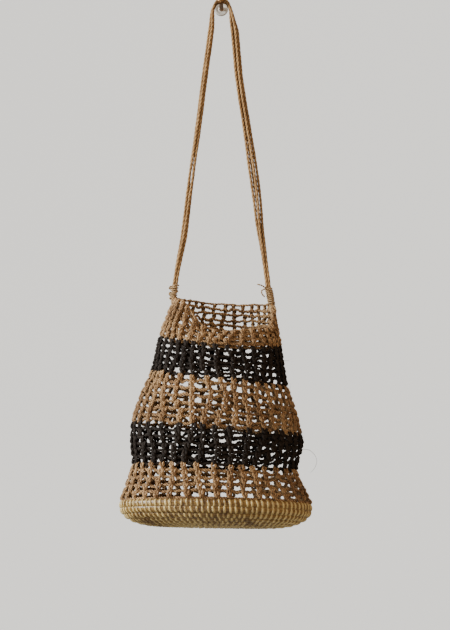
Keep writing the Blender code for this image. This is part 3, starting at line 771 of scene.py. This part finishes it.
# The strap, nearly as in the CAD source: its middle, half its width over the strands' middles, the roll
# of the four strands about it, and how far they lie side by side along the peg.
strap = {
    "x": (-64.6, -63.2, -60.4, -51.7, -45.3, -40.1, -32, -23.6, -14.7, -13.4, -12.9, -11, -6.4, 0.8,
          8.4, 12.9, 15.1, 16.9, 19.8, 25.8, 36.1, 44.6, 50.2, 54.3, 60.2, 65.4, 67.2),
    "y": (-66, -64, -62, -57.3, -51.8, -47.6, -41.6, -34.6, -28, -26.4, -24.9, -23.8, -23, -22.8,
          -23, -23.9, -25, -26.4, -28, -34.6, -41.6, -47.6, -51.8, -55.8, -60.2, -64, -65.6),
    "z": (-427.5, -417.1, -397, -349, -292, -248, -186, -114, -44, -28, -16, -7, 1.4, 4.9,
          1.6, -7.5, -16, -28, -44, -114, -186, -248, -292, -335, -378, -421.5, -431.5),
    "half": (1.1, 1.7, 2, 2.9, 2.6, 2.5, *[2.7] * 5, *[2.6] * 4, 3, 3.6, 4, 4.2, 4.1, 4.3, 5.2, 4.8,
             3.7, 2.1, 1.7, 1.1),
    "deep": (1.3, *[2.45] * 25, 1.3),
    "roll": (-6, 0, 12, 45, 75, 95, 115, 138, 152, *[157] * 8, 155, 150, 146,
             144, 146, 142, 128, 102, 90, 86),
    "hooked": (*[0] * 9, 0.25, 0.55, 0.88, 1, 1, 1, 0.88, 0.55, 0.25, *[0] * 9),
}
strand = {
    "seats": (-0.5, -1.5, 0.5, 1.5),
    "seatSpace": 3.4,
    "diameter": 3,
    "radius": 1.93,
    "swell": (0.05, 0.04),
    "twist": {"lobe": 0.07, "plies": 2, "twistPitch": 14},
    "step": 1,
    "routeStep": 6,
    "sides": 10,
}


def strandLine(strap, strand, index, step):
    # The strap's rows read at even steps; a strand stands off its middle by half * cos and
    # deep * sin of its own angle plus the roll, and goes over to its seat as hooked nears one.
    rows = np.array(list(strap.values())).T
    keys = runAlong(rows[:, :3])
    at = np.linspace(0, keys[-1], int(keys[-1] / step) + 1)
    x, y, z, half, deep, roll, hooked = smoothAt(keys, rows, at).T
    angles = np.radians(45 + 90 * np.arange(4)[:, None] + roll)
    reach = half / np.abs(np.cos(angles)).max(0)
    hooked = np.clip(hooked, 0, 1)
    seat = strand["seats"][index] * strand["seatSpace"]
    return np.stack([x + (1 - hooked) * reach * np.cos(angles[index]),
                     y + (1 - hooked) * deep * np.sin(angles[index]) + hooked * seat, z], -1)


def swelling(run, sizes, start):
    # How a strand swells and thins along its run: one plus a long sine wave and a short one.
    long, short = 7.3, 2.9
    return 1 + sizes[0] * np.sin(run / long + start) + sizes[1] * np.sin(run / short + 2 * start)


def makeStrap(strap, strand):
    # Four strands, each a cord of its own.
    for index in range(4):
        line = strandLine(strap, strand, index, strand["step"])
        radii = strand["radius"] * swelling(np.arange(len(line)) * strand["step"], strand["swell"], index)
        made = makePiece(f"strapStrand{index + 1}", tube(line, radii, frontward, strand["sides"], False,
                         **strand["twist"]), yarns["strapYarn"], "natural_yarn", f"strap_strand_{index + 1}")


makeStrap(strap, strand)
print("strap made")

# The bindings: yarn wound round the strap above the rim, with its loops and free ends. Radius and
# stray are given turn by turn.
bindings = (
    {"name": "leftWinding", "node": "left_binding",
     "top": (-63, -64, -418.6), "bottom": (-65.8, -68.3, -438.6), "rimTurn": 0,
     "radius": (4.1, 4.2, 4.5, 4.1, 4.7, 4.2, 4.3, 4.2), "stray": (0.2, 0.1, 0.8, 0.1, 0.9, 0.1, 0.3, 0.2),
     "messy": 0.55,
     "ends": (
         ((-65, -65, -420.6), (-68.9, -66.2, -420.2), (-71, -66.8, -422.3), (-69.2, -66, -424.4),
          (-65, -65.4, -424.2)),
         ((-66, -66.6, -428.4), (-69.7, -68.2, -428.9), (-71.2, -68.8, -430.7), (-69.8, -68, -432.2),
          (-66, -67, -431.4)))},
    {"name": "rightWinding", "node": "right_binding",
     "top": (65.8, -64, -422.8), "bottom": (69.8, -65.5, -444.6), "rimTurn": 3.36,
     "radius": (4.1, 4.5, 4.4, 4.6, 4.3, 4.5, 4.2, 4.3, 4.2, 4),
     "stray": (0, 0.2, -0.1, 0.1, -0.2, 0.1, -0.1, 0.1, 0, 0), "messy": 0.15,
     "ends": (
         ((65.6, -66.6, -424), (61, -68.3, -422.3), (56.2, -69.2, -419.3), (50, -69.6, -417.6)),
         ((66, -67.2, -425.4), (60.4, -70.4, -424.4), (55.9, -71, -427), (56.6, -70.8, -431.4),
          (59.9, -70.4, -435)))},
)
winding = {
    "plyRadius": 0.62,
    "plyOffset": 0.50,
    "plyPitch": 6.5,
    "plySides": 6,
    "plySwell": (0.06, 0.05),
    "endStep": 0.5,
    "endReads": 60,
    "stepsPerTurn": 28,
    "yarnRadius": 1.15,
    "yarnSides": 8,
    "twist": {"lobe": 0.12, "plies": 2, "twistPitch": 9},
    "shakes": ((1, 0.37, 1), (1, 0.61, 2), (1.3, 0.83, 0)),
    "coreRadius": 3.2,
    "coreTop": 0.06,
    "coreSteps": 12,
    "coreSides": 12,
    "coreTwist": {"lobe": 0.1, "plies": 3, "twistPitch": 14},
    "rimLoops": ((-0.115, 1.15), (-0.045, 0.95), (0.03, 1.2), (0.10, 1)),
    "loopRadius": 1.1,
    "loopSteps": 24,
    "loopSides": 9,
    "loopOver": 1.2,
    "loopHalfDepth": 3.4,
    "loopTwist": {"lobe": 0.15, "plies": 3, "twistPitch": 12},
}


def pliedTube(line, winding):
    # Two plies wound round a line: each is a tube whose middle circles the line at plyOffset, once
    # in each plyPitch, half a turn apart.
    tangent = unit(np.gradient(line, axis=0))
    sideways = unit(np.cross(tangent, frontward))
    upright = np.cross(sideways, tangent)
    run = runAlong(line)
    angle = lap * run / winding["plyPitch"] + np.array([[0.0], [math.pi]])
    away = np.cos(angle)[..., None] * upright + np.sin(angle)[..., None] * sideways
    radii = np.broadcast_to(winding["plyRadius"] * swelling(run, winding["plySwell"], 0.0), (2, len(run)))
    return tubes(line + winding["plyOffset"] * away, radii, away, winding["plySides"], False)


def axisAt(binding, share):
    # The binding's leaning axis, read at shares of the way from its top to its bottom.
    top = np.array(binding["top"])
    return top + share[:, None] * (np.array(binding["bottom"]) - top)


def windingLine(binding, winding):
    # A helix down the leaning axis, its radius and stray read from the turns, shaken by sines.
    turns = len(binding["radius"]) - 1
    share = np.linspace(0, 1, turns * winding["stepsPerTurn"] + 1)
    read = np.array([binding["radius"], binding["stray"]]).T
    radius, stray = smoothAt(np.arange(turns + 1), read, share * turns).T
    angle = share * turns * lap
    shake = binding["messy"] * np.stack([size * np.sin(angle * pace + start)
                                         for size, pace, start in winding["shakes"]], -1)
    away = np.stack([np.cos(angle), -np.sin(angle), 0 * angle], -1)
    line = axisAt(binding, share) + radius[:, None] * away + shake - stray[:, None] * np.array([1, 0, 0])
    return line, away


def rimLoop(turn, low, winding):
    # A closed oval round the rim's edge, square to the wall, from just over it down to course low.
    steps = winding["loopSteps"]
    angle = np.arange(steps) * lap / steps
    place, normal, _, perCourse = netFrame(np.full(steps, low / 2), np.full(steps, turn), net["wall"] / 2)
    ring = place + (winding["loopHalfDepth"] * np.cos(angle))[:, None] * normal
    ring[:, 2] += (low / 2 * perCourse + winding["loopOver"]) * np.sin(angle)
    outward = unit(np.cos(angle)[:, None] * normal + np.sin(angle)[:, None] * np.array([0, 0, 1.0]))
    return tube(ring, winding["loopRadius"], outward, winding["loopSides"], True, **winding["loopTwist"])


def makeBinding(binding, winding):
    # The winding, its loops and ends on smooth lines, the strap's core and the loops round the rim.
    line, away = windingLine(binding, winding)
    parts = [tube(line, winding["yarnRadius"], away, winding["yarnSides"], False, **winding["twist"])]
    for points in binding["ends"]:
        reads = np.linspace(0, len(points) - 1, winding["endReads"])
        rough = smoothAt(np.arange(len(points)), points, reads)
        run = runAlong(rough)
        even = np.linspace(0, run[-1], int(run[-1] / winding["endStep"]) + 1)
        parts.append(pliedTube(readAt(even, run, rough), winding))
    core = axisAt(binding, np.linspace(winding["coreTop"], 1, winding["coreSteps"]))
    parts.append(tube(core, winding["coreRadius"], frontward, winding["coreSides"], False,
                      **winding["coreTwist"]))
    parts += [rimLoop(binding["rimTurn"] + step, low, winding) for step, low in winding["rimLoops"]]
    makePiece(binding["name"], joined(parts), yarns["windingYarn"], "natural_yarn", binding["node"])


for binding in bindings:
    makeBinding(binding, winding)
print("bindings made")

# The rim's edge: a yarn that runs round through the heads of the top course.
rim = {"course": 0.02, "radius": 1.45, "steps": 720, "wave": 0.8, "sides": 9, "swellKnots": 90, "swell": 0.08,
       "sway": ((0.5, 11, 0), (0.3, 29, 1))}


def makeRim(rim):
    # A closed line on the rim that rises and falls a little with each column.
    turn = np.arange(rim["steps"]) * lap / rim["steps"]
    course = np.full(len(turn), rim["course"])
    place, normal, _, _ = netFrame(course, turn + ribLean(0.5, turn), net["wall"] / 2)
    line = place + (rim["wave"] * np.cos(turn * net["columns"]))[:, None] * normal
    line[:, 2] += sum(size * np.sin(turn * times + start) for size, times, start in rim["sway"])
    radii = rim["radius"] * (1 + slowNoise((1, len(turn)), rim["swellKnots"], rim["swell"]))
    makePiece("rimYarn", tube(line, radii, normal, rim["sides"], True, **net["twist"]),
              yarns["naturalYarn"], "natural_yarn")


makeRim(rim)

# Stray fibres that stand off the yarn all over.
hair = {"naturalCount": 900, "darkCount": 450, "points": 6, "sides": 3, "radius": 0.075, "taper": 0.6,
        "least": 4, "most": 15, "cut": (0.4, 1), "curl": 0.35, "spread": 0.8, "ahead": 3, "clear": 0.5}


def makeHairs(tone, hair):
    # Each hair starts on the yarn and bends along a parabola in a random direction. None goes
    # back as far as the peg's back face.
    paths = np.concatenate([netPaths[first:last] for _, first, last, band in netBands if band == tone])
    count = hair[tone + "Count"]
    rows, steps, _ = paths.shape
    row = chance.integers(0, rows, count)
    step = chance.integers(0, steps, count)
    root = paths[row, step]
    along = unit(paths[row, (step + hair["ahead"]) % steps] - root)
    aim = unit(along + chance.normal(0, hair["spread"], (count, 3)))
    bend = unit(chance.normal(0, 1, (count, 3)))[:, None]
    length = chance.uniform(hair["least"], hair["most"], count) * chance.uniform(*hair["cut"], count)
    share = np.linspace(0, 1, hair["points"])
    line = (root[:, None] + (length[:, None] * share)[..., None] * aim[:, None]
            + (length[:, None] * hair["curl"] * share ** 2)[..., None] * bend)
    line[..., 1] = np.minimum(line[..., 1], -hair["clear"])
    radii = np.broadcast_to(hair["radius"] * (1 - hair["taper"] * share), (count, len(share)))
    makePiece(tone + "Hairs", tubes(line, radii, np.broadcast_to(bend, line.shape), hair["sides"], False),
              yarns[tone + "Yarn"], tone + "_yarn")


makeHairs("natural", hair)
makeHairs("dark", hair)

# Two long fibres that have sprung out of the dark bands at the right.
longFibres = {
    "longFibreLow": ((104, -80, -642.6), (113.9, -83, -642.7), (119.6, -85, -644.3),
                     (125.8, -86, -650.4), (128.2, -87, -658.2), (126, -87, -666.2),
                     (120.3, -86, -673.3)),
    "longFibreTop": ((82, -72, -522.4), (88, -74, -523.2), (93, -75, -523)),
}
longFibre = {"radius": 0.26, "tip": 0.6, "stepsPerPoint": 6, "sides": 4}


def makeLongFibre(name, points, longFibre):
    # A smooth curve through the fibre's points, thinner towards its free end.
    steps = longFibre["stepsPerPoint"] * len(points)
    line = smoothAt(np.arange(len(points)), points, np.linspace(0, len(points) - 1, steps))
    radii = longFibre["radius"] * np.linspace(1.0, longFibre["tip"], steps)
    makePiece(name, tube(line, radii, frontward, longFibre["sides"], False), yarns["darkYarn"], "dark_yarn")


for name, points in longFibres.items():
    makeLongFibre(name, points, longFibre)
print("hairs made")

# The peg, turned in metal.
peg = {"flange": 10, "thick": 3, "edge": 1, "step": (6.2, 5.8), "stepDeep": 0.35, "fillet": 1.6,
       "shank": 3, "shankRings": (8, 14, 22, 28), "knob": 6, "knobOut": 36, "knobEnd": 0.985,
       "knobRings": 30, "edgeRings": 7, "tip": 0.02, "sides": 64}


def makePeg(peg):
    # A profile of radius against distance from the back face: flange, shank and ball, carried round the
    # peg's axis.
    knobAngle = np.linspace(math.asin(peg["shank"] / peg["knob"]), math.pi * peg["knobEnd"], peg["knobRings"])
    edgeAngle = np.linspace(0, math.pi / 2, peg["edgeRings"])
    face = peg["thick"] - peg["stepDeep"]
    radius = np.concatenate([
        [peg["flange"]], peg["flange"] - peg["edge"] + peg["edge"] * np.cos(edgeAngle), peg["step"],
        peg["shank"] + peg["fillet"] * (1 - np.sin(edgeAngle)), [peg["shank"]] * 4,
        peg["knob"] * np.sin(knobAngle)])
    out = np.concatenate([
        [0.0], peg["thick"] - peg["edge"] + peg["edge"] * np.sin(edgeAngle), [peg["thick"], face],
        face + peg["fillet"] * (1 - np.cos(edgeAngle)), peg["shankRings"],
        peg["knobOut"] - peg["knob"] * np.cos(knobAngle)])
    points, quads, tris = turnedRound(radius, out, peg["sides"], peg["tip"])
    return points[:, [0, 2, 1]] * (1, -1, 1), quads, 0.0, tris


brassTone = {"brown": (0.10, 0.048, 0.022), "brass": (0.44, 0.235, 0.095), "paint": (0.62, 0.59, 0.53),
             "coarse": 160, "fine": 900, "worn": (0.38, 0.62, 0, 1), "metal": 0.9,
             "painted": (-0.0034, -0.0031, 0, 1), "rough": (0.3, 0.7, 0.5, 0.28),
             "bump": 0.15, "bumpDepth": 0.0003}


def brassMaterial(tone):
    # Aged brass: brown patches, shinier where it is worn. The flange is painted pale.
    material, tree, shader, _, place, patches = startMaterial("agedBrass", tone["coarse"], tone["fine"])
    painted = rangeNode(tree, placeNode(tree, "SeparateXYZ", {0: place})[1], *tone["painted"])
    brass = mixColours(tree, rangeNode(tree, patches, *tone["worn"]), tone["brown"], tone["brass"])
    metal = mathNode(tree, "MULTIPLY_ADD", painted, -tone["metal"], tone["metal"])
    setInputs(tree, shader, {"Base Color": mixColours(tree, painted, brass, tone["paint"]), "Metallic": metal,
                             "Roughness": rangeNode(tree, patches, *tone["rough"])})
    addBump(tree, shader, patches, tone["bump"], tone["bumpDepth"])
    return material


makePiece("pegTurned", makePeg(peg), brassMaterial(brassTone), "peg_metal", "wall_peg")
print("peg made")

# A plain pale floor that sweeps up into a backdrop all round, and soft studio light, in metres.
studio = {"floor": -1.9, "radius": 3, "sweep": 1.6, "top": 3.6, "rings": 40, "sides": 96,
          "inner": (0.4, 1.8), "topRadius": 0.05, "paint": (0.78, 0.765, 0.73), "rough": 0.9,
          "glow": (1, 0.985, 0.94), "glowStrength": 0.86, "air": (1, 0.95, 0.88), "airStrength": 0.23}


def makeStudio(studio):
    # A profile of radius against height, flat floor, quarter-round sweep, wall and domed top.
    angle = np.linspace(0, math.pi / 2, studio["rings"])
    sweep = studio["sweep"]
    high = studio["floor"] + sweep
    radius = np.concatenate([studio["inner"], studio["radius"] + sweep * np.sin(angle),
                             (studio["radius"] + sweep) * np.cos(angle[1:-1]), [studio["topRadius"]]])
    height = np.concatenate([[studio["floor"]] * 2, studio["floor"] + sweep * (1 - np.cos(angle)),
                             high + (studio["top"] - high) * np.sin(angle[1:])])
    points, quads, tris = turnedRound(radius / mm, height / mm, studio["sides"], 0.0)
    made = makeMesh("studioSweep", points, quads[:, ::-1], 0.0, tris[:, ::-1])
    paint = bpy.data.materials.new("palePaint")
    paint.use_nodes = True
    setInputs(paint.node_tree, paint.node_tree.nodes["Principled BSDF"], {
        "Base Color": studio["paint"], "Roughness": studio["rough"],
        "Emission Color": studio["glow"], "Emission Strength": studio["glowStrength"]})
    made.data.materials.append(paint)
    made.visible_diffuse = False
    made.visible_glossy = False
    made.visible_shadow = False
    world = bpy.data.worlds.new("paleRoom")
    world.use_nodes = True
    setInputs(world.node_tree, world.node_tree.nodes["Background"], {
        "Color": studio["air"], "Strength": studio["airStrength"]})
    bpy.context.scene.world = world


makeStudio(studio)

lamps = (
    {"name": "windowLight", "place": (-2.68, -0.86, 0.5), "aim": (0.0, -0.08, -0.55), "size": 1.1,
     "power": 172, "colour": (0.95, 0.985, 1)},
    {"name": "roomLight", "place": (1.6, -1.4, 0.2), "aim": (0.0, -0.08, -0.6), "size": 1.6,
     "power": 16, "colour": (1, 0.61, 0.29)},
    {"name": "skyLight", "place": (-0.55, -1.0, 0.45), "aim": (0.0, -0.06, -0.46), "size": 0.7,
     "power": 4, "colour": (1, 0.93, 0.82)},
    {"name": "floorLight", "place": (-0.7, -1.2, -1.75), "aim": (0.0, -0.08, -0.72), "size": 1.2,
     "power": 9, "colour": (1, 0.93, 0.80)},
)


def makeLamp(lamp):
    # A square soft light that faces a point of the bag.
    light = bpy.data.lights.new(lamp["name"], "AREA")
    light.size = lamp["size"]
    light.energy = lamp["power"]
    light.color = lamp["colour"]
    holder = bpy.data.objects.new(lamp["name"], light)
    holder.location = lamp["place"]
    x, y, z = (end - start for end, start in zip(lamp["aim"], lamp["place"]))
    holder.rotation_euler = (math.atan2(math.hypot(x, y), -z), 0.0, math.atan2(y, x) - math.pi / 2)
    bpy.context.scene.collection.objects.link(holder)


for lamp in lamps:
    makeLamp(lamp)
print("studio made")
